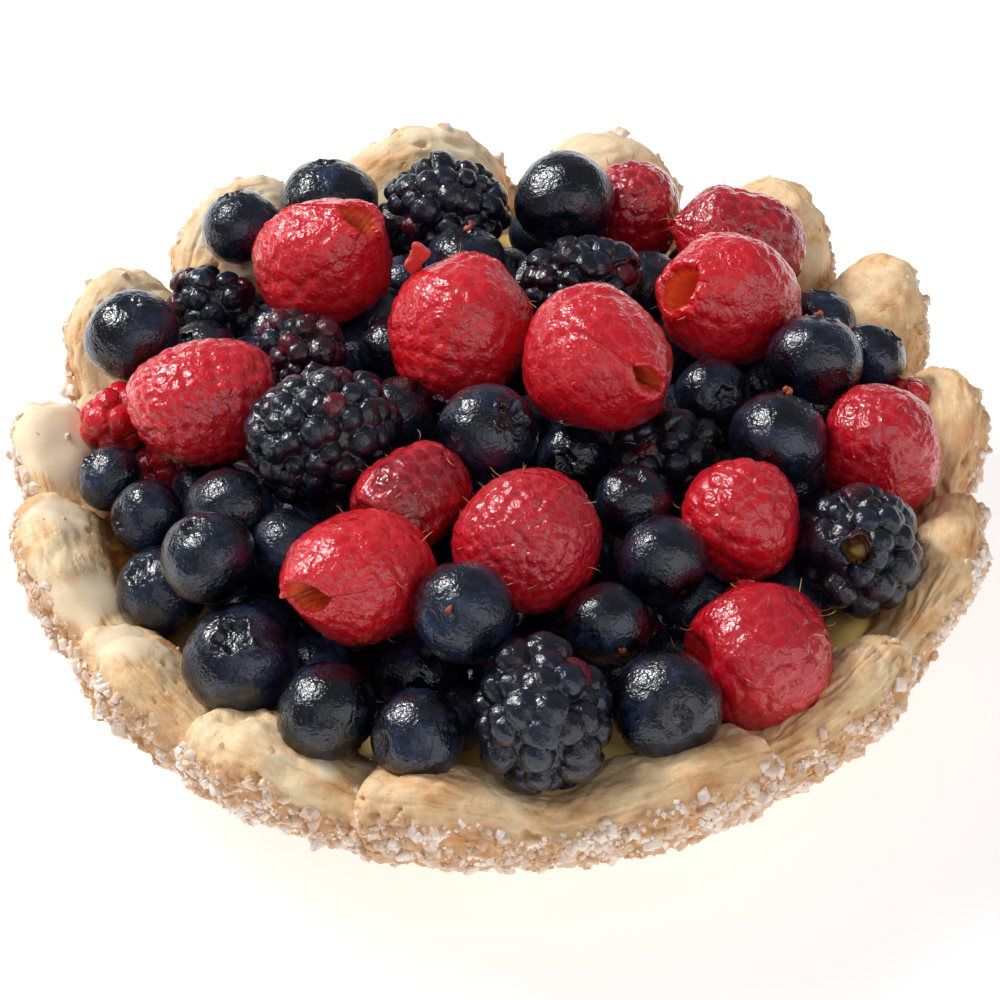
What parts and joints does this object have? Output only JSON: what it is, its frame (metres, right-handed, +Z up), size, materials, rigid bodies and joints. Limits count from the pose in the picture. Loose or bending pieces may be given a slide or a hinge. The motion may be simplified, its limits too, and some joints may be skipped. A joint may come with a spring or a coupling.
{
  "type": "berry tart",
  "caption": "Small free-form fruit tart: a petalled sweet pastry shell with custard, heaped with glazed blueberries, raspberries and brambles.",
  "frame": {"origin": "centre of the flat underside of the crust", "axes": "+Z up through the tart, its shortest side; -Y is the front, where two petals of the rim meet in a low valley"},
  "size_m": [0.1455, 0.1452, 0.0612],
  "materials": {
    "baked_pastry": "matte baked sweet pastry, flaky, with coarse sugar on the outside",
    "custard": "soft satin set custard",
    "buried_fruit": "wet glazed dark fruit",
    "blueberry": "dark blue skin with bloom under a thin glaze",
    "raspberry": "red drupelets under a thin glaze",
    "bramble": "near-black drupelets under a thin glaze"
  },
  "bodies": {
    "root": {"crust": "baked_pastry", "custard": "custard", "fruit_bed": "buried_fruit", "blueberry_01": "blueberry", "blueberry_02": "blueberry", "blueberry_03": "blueberry", "blueberry_04": "blueberry", "blueberry_05": "blueberry", "blueberry_06": "blueberry", "blueberry_07": "blueberry", "blueberry_08": "blueberry", "blueberry_09": "blueberry", "blueberry_10": "blueberry", "blueberry_11": "blueberry", "blueberry_12": "blueberry", "blueberry_13": "blueberry", "blueberry_14": "blueberry", "blueberry_15": "blueberry", "blueberry_16": "blueberry", "blueberry_17": "blueberry", "blueberry_18": "blueberry", "blueberry_19": "blueberry", "blueberry_20": "blueberry", "blueberry_21": "blueberry", "blueberry_22": "blueberry", "blueberry_23": "blueberry", "blueberry_24": "blueberry", "blueberry_25": "blueberry", "blueberry_26": "blueberry", "blueberry_27": "blueberry", "blueberry_28": "blueberry", "blueberry_29": "blueberry", "blueberry_30": "blueberry", "blueberry_31": "blueberry", "blueberry_32": "blueberry", "raspberry_01": "raspberry", "raspberry_02": "raspberry", "raspberry_03": "raspberry", "raspberry_04": "raspberry", "raspberry_05": "raspberry", "raspberry_06": "raspberry", "raspberry_07": "raspberry", "raspberry_08": "raspberry", "raspberry_09": "raspberry", "raspberry_10": "raspberry", "raspberry_11": "raspberry", "raspberry_12": "raspberry", "raspberry_13": "raspberry", "raspberry_14": "raspberry", "raspberry_15": "raspberry", "raspberry_16": "raspberry", "bramble_01": "bramble", "bramble_02": "bramble", "bramble_03": "bramble", "bramble_04": "bramble", "bramble_05": "bramble", "bramble_06": "bramble", "bramble_07": "bramble", "bramble_08": "bramble"}
  },
  "joints": []
}
